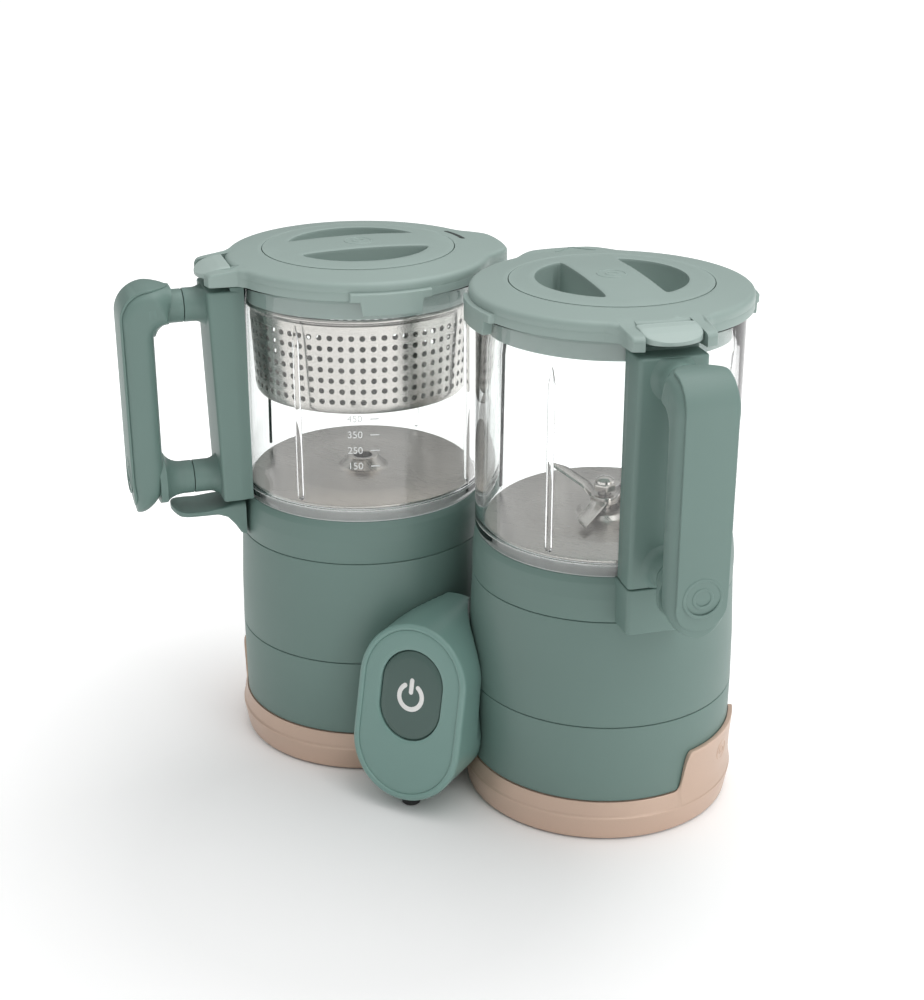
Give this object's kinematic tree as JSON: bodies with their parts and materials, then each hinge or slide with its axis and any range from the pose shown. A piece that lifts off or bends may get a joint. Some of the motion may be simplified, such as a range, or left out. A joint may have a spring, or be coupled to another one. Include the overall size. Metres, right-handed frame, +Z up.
{
  "type": "baby food maker",
  "caption": "Countertop baby food maker: a steaming jar and a blending jar with lids and handles on a joined base with a front control pod.",
  "frame": {"origin": "centre of the footprint, on the surface that it stands on", "axes": "+Z up, +X towards the blending jar, -Y to the front with the control button"},
  "size_m": [0.3388, 0.1717, 0.2773],
  "materials": {
    "green_shell": "satin moulded",
    "pale_green": "satin moulded",
    "pod_green": "satin moulded",
    "button_green": "satin moulded",
    "bronze": "satin metallic plastic",
    "steel": "brushed",
    "clear_glass": "clear polished",
    "black_rubber": "matte",
    "silicone": "matte",
    "inner_plastic": "moulded",
    "board": "coated board"
  },
  "bodies": {
    "base": {"foot_ring_left": "bronze", "foot_ring_right": "bronze", "bottom_cover_left": "inner_plastic", "bottom_cover_right": "inner_plastic", "rubber_foot_left_1": "black_rubber", "rubber_foot_left_2": "black_rubber", "rubber_foot_left_3": "black_rubber", "rubber_foot_right_1": "black_rubber", "rubber_foot_right_2": "black_rubber", "rubber_foot_right_3": "black_rubber", "lower_shell_left": "green_shell", "lower_shell_right": "green_shell", "upper_shell_left": "green_shell", "upper_shell_right": "green_shell", "collar_left": "green_shell", "collar_right": "green_shell", "deck_left": "inner_plastic", "deck_right": "inner_plastic", "boiler_dish": "steel", "heating_ring": "steel", "thermostat": "inner_plastic", "motor": "steel", "motor_mount": "inner_plastic", "motor_bearing": "steel", "lever_pin": "steel", "pod_housing": "pod_green", "pod_face": "pod_green", "control_board": "board", "pod_foot": "black_rubber", "power_inlet": "inner_plastic"},
    "motor_drive": {"drive_shaft": "steel"},
    "button": {"control_button": "button_green"},
    "lever": {"release_lever": "green_shell"},
    "sensor_pin_left": {"jar_sensor_pin_left": "silicone"},
    "sensor_pin_right": {"jar_sensor_pin_right": "silicone"},
    "jar_left": {"glass_jar_left": "clear_glass", "jar_base_left": "inner_plastic", "handle_strut_left": "green_shell", "handle_grip_left": "green_shell", "grip_cover_left": "pale_green", "floor_seal_left": "silicone", "steam_floor": "steel"},
    "jar_right": {"glass_jar_right": "clear_glass", "jar_base_right": "inner_plastic", "handle_strut_right": "green_shell", "handle_grip_right": "green_shell", "grip_cover_right": "pale_green", "floor_seal_right": "silicone", "blade_floor": "steel", "blade_bearing": "steel"},
    "blades": {"blade_shaft": "steel", "blade_set": "steel", "blade_nut": "steel"},
    "basket": {"steam_basket": "steel"},
    "lid_left": {"lid_left": "pale_green"},
    "lid_right": {"lid_right": "pale_green"},
    "cap_left": {"lid_cap_left": "pale_green"},
    "cap_right": {"lid_cap_right": "pale_green"},
    "latch_left": {"latch_flap_left": "pale_green"},
    "latch_right": {"latch_flap_right": "pale_green"}
  },
  "joints": [
    {"name": "jar_left_lift", "type": "slide", "parent": "base", "child": "jar_left", "axis": [0, 0, 1], "range_m": [0, 0.15]},
    {"name": "jar_right_lift", "type": "slide", "parent": "base", "child": "jar_right", "axis": [0, 0, 1], "range_m": [0, 0.15]},
    {"name": "basket_lift", "type": "slide", "parent": "jar_left", "child": "basket", "axis": [0, 0, 1], "range_m": [0, 0.08]},
    {"name": "lid_left_lift", "type": "slide", "parent": "basket", "child": "lid_left", "axis": [0, 0, 1], "range_m": [0, 0.06]},
    {"name": "lid_right_lift", "type": "slide", "parent": "jar_right", "child": "lid_right", "axis": [0, 0, 1], "range_m": [0, 0.06]},
    {"name": "cap_left_lift", "type": "slide", "parent": "lid_left", "child": "cap_left", "axis": [0, 0, 1], "range_m": [0, 0.03]},
    {"name": "cap_right_lift", "type": "slide", "parent": "lid_right", "child": "cap_right", "axis": [0, 0, 1], "range_m": [0, 0.03]},
    {"name": "latch_left_press", "type": "hinge", "parent": "lid_left", "child": "latch_left", "pos_m": [-0.12236, -0.0378, 0.268], "axis": [0.7193, -0.6947, 0], "range_deg": [0, 5], "stiffness_Nm_per_rad": 0.4, "springref_deg": -2.86},
    {"name": "latch_right_press", "type": "hinge", "parent": "lid_right", "child": "latch_right", "pos_m": [0.12236, -0.0378, 0.268], "axis": [0.7193, 0.6947, 0], "range_deg": [0, 5], "stiffness_Nm_per_rad": 0.4, "springref_deg": -2.86},
    {"name": "button_press", "type": "slide", "parent": "base", "child": "button", "axis": [0, 0.972, -0.2351], "range_m": [0, 0.0015], "stiffness_N_per_m": 900, "springref_m": -0.0004},
    {"name": "lever_press", "type": "hinge", "parent": "base", "child": "lever", "pos_m": [-0.12097, -0.03636, 0.139], "axis": [-0.7193, 0.6947, 0], "range_deg": [0, 5], "stiffness_Nm_per_rad": 0.6, "springref_deg": -11.46},
    {"name": "sensor_pin_left_press", "type": "slide", "parent": "base", "child": "sensor_pin_left", "axis": [0, 0, -1], "range_m": [0, 0.003], "stiffness_N_per_m": 120, "springref_m": -0.001},
    {"name": "sensor_pin_right_press", "type": "slide", "parent": "base", "child": "sensor_pin_right", "axis": [0, 0, -1], "range_m": [0, 0.003], "stiffness_N_per_m": 120, "springref_m": -0.001},
    {"name": "motor_spin", "type": "hinge", "parent": "base", "child": "motor_drive", "pos_m": [0.072, 0.01435, 0.12], "axis": [0, 0, 1], "continuous": true},
    {"name": "blade_spin", "type": "hinge", "parent": "jar_right", "child": "blades", "pos_m": [0.072, 0.01435, 0.16], "axis": [0, 0, 1], "continuous": true}
  ],
  "couplings": [
    {"joint": "blade_spin", "follows": "motor_spin", "ratio": 1}
  ]
}
